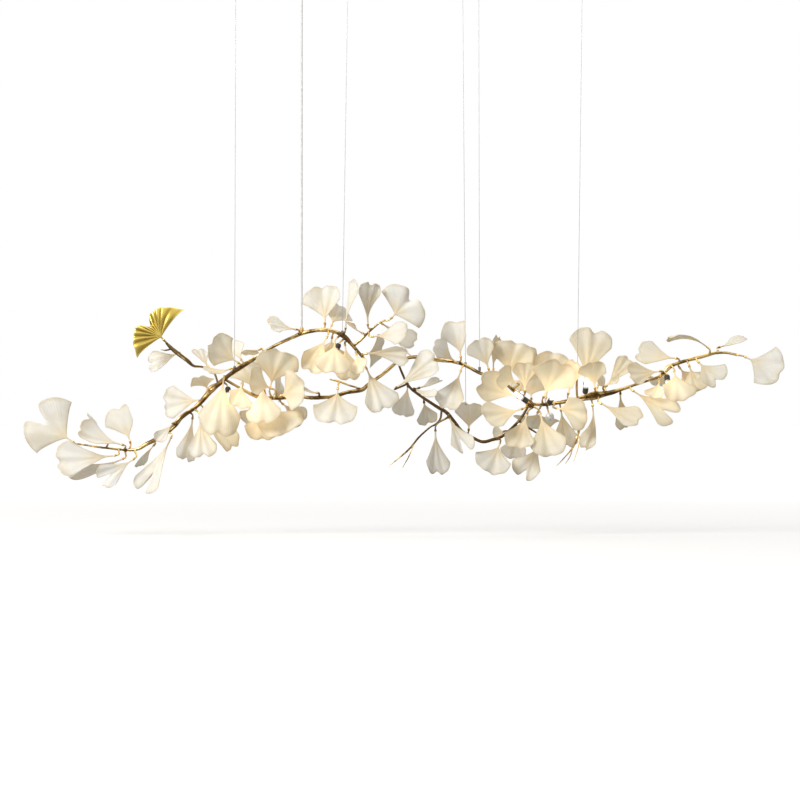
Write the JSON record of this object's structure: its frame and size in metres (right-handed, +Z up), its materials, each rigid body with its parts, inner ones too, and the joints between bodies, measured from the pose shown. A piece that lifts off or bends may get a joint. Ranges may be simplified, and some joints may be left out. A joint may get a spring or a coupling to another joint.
{
  "type": "porcelain leaf chandelier",
  "caption": "Long hanging chandelier of white porcelain ginkgo leaves on cast brass twigs, lit by pin lamps and hung on thin wires from ceiling cups.",
  "frame": {"origin": "centre of the power rose's top face, midway between its two screw holes, on the ceiling plane", "axes": "+X along the spray towards its right end, +Z up, the side in the picture faces -Y"},
  "size_m": [1.8893, 0.2275, 1.3247],
  "materials": {
    "porcelain": "satin bisque",
    "brass": "cast, dark in the hollows",
    "gold": "polished",
    "satin_metal": "satin",
    "steel": "bright",
    "lamp_glass": "frosted, lit",
    "holder": "matt dark",
    "bead": "pearly",
    "terminal": "matt",
    "clear_cord": "clear"
  },
  "bodies": {
    "spray": {"arch_leaves": "porcelain", "bare_twig_left": "brass", "bare_twig_right": "brass", "cascade_branch": "brass", "cascade_leaves": "porcelain", "cascade_stalks": "brass", "ceiling_cups": "satin_metal", "centre_leaves": "porcelain", "cord_gland": "brass", "cord_grip": "terminal", "flower_bead": "bead", "flower_lower_leaves": "porcelain", "flower_upper_leaves": "porcelain", "gold_leaf": "gold", "gold_stalks": "brass", "gold_twig": "brass", "gripper_barrels": "satin_metal", "gripper_plugs": "satin_metal", "lamp_arms": "brass", "lamp_holders": "holder", "leaf_collars": "brass", "left_lamp_leaves": "porcelain", "left_lower_leaves": "porcelain", "left_tip_leaves": "porcelain", "left_upper_leaves": "porcelain", "lily_leaves": "porcelain", "lower_branch": "brass", "lower_stalks": "brass", "main_branch": "brass", "main_stalks": "brass", "middle_lamp_leaves": "porcelain", "power_cord": "clear_cord", "power_rose": "satin_metal", "right_branch": "brass", "right_lamp_leaves": "porcelain", "right_lower_leaves": "porcelain", "right_stalks": "brass", "right_tip_leaves": "porcelain", "suspension_wire_1": "steel", "suspension_wire_2": "steel", "suspension_wire_3": "steel", "suspension_wire_4": "steel", "suspension_wire_5": "steel", "terminal_block": "terminal", "wire_studs": "brass", "wire_tail_stop": "steel"},
    "lamp_1_body": {"lamp_1": "lamp_glass"},
    "lamp_2_body": {"lamp_2": "lamp_glass"},
    "lamp_3_body": {"lamp_3": "lamp_glass"},
    "lamp_4_body": {"lamp_4": "lamp_glass"},
    "lamp_5_body": {"lamp_5": "lamp_glass"},
    "lamp_6_body": {"lamp_6": "lamp_glass"},
    "lamp_7_body": {"lamp_7": "lamp_glass"},
    "plunger_1_body": {"plunger_1": "steel"},
    "plunger_2_body": {"plunger_2": "steel"},
    "plunger_3_body": {"plunger_3": "steel"},
    "plunger_4_body": {"plunger_4": "steel"},
    "plunger_5_body": {"plunger_5": "steel"}
  },
  "joints": [
    {"name": "lamp_1_pull", "type": "slide", "parent": "spray", "child": "lamp_1_body", "axis": [0.1506, -0.3515, -0.924], "range_m": [0, 0.009]},
    {"name": "lamp_2_pull", "type": "slide", "parent": "spray", "child": "lamp_2_body", "axis": [-0.0498, -0.3982, -0.9159], "range_m": [0, 0.009]},
    {"name": "lamp_3_pull", "type": "slide", "parent": "spray", "child": "lamp_3_body", "axis": [-0.399, -0.3491, -0.8479], "range_m": [0, 0.009]},
    {"name": "lamp_4_pull", "type": "slide", "parent": "spray", "child": "lamp_4_body", "axis": [-0.8024, -0.2507, 0.5416], "range_m": [0, 0.009]},
    {"name": "lamp_5_pull", "type": "slide", "parent": "spray", "child": "lamp_5_body", "axis": [0.3505, -0.7011, 0.621], "range_m": [0, 0.009]},
    {"name": "lamp_6_pull", "type": "slide", "parent": "spray", "child": "lamp_6_body", "axis": [0.0999, -0.2996, 0.9488], "range_m": [0, 0.009]},
    {"name": "lamp_7_pull", "type": "slide", "parent": "spray", "child": "lamp_7_body", "axis": [0.0507, -0.4056, -0.9126], "range_m": [0, 0.009]},
    {"name": "plunger_1_press", "type": "slide", "parent": "spray", "child": "plunger_1_body", "axis": [0, 0, 1], "range_m": [0, 0.003], "stiffness_N_per_m": 300, "springref_m": -0.002},
    {"name": "plunger_2_press", "type": "slide", "parent": "spray", "child": "plunger_2_body", "axis": [0, 0, 1], "range_m": [0, 0.003], "stiffness_N_per_m": 300, "springref_m": -0.002},
    {"name": "plunger_3_press", "type": "slide", "parent": "spray", "child": "plunger_3_body", "axis": [0, 0, 1], "range_m": [0, 0.003], "stiffness_N_per_m": 300, "springref_m": -0.002},
    {"name": "plunger_4_press", "type": "slide", "parent": "spray", "child": "plunger_4_body", "axis": [0, 0, 1], "range_m": [0, 0.003], "stiffness_N_per_m": 300, "springref_m": -0.002},
    {"name": "plunger_5_press", "type": "slide", "parent": "spray", "child": "plunger_5_body", "axis": [0, 0, 1], "range_m": [0, 0.003], "stiffness_N_per_m": 300, "springref_m": -0.002}
  ]
}
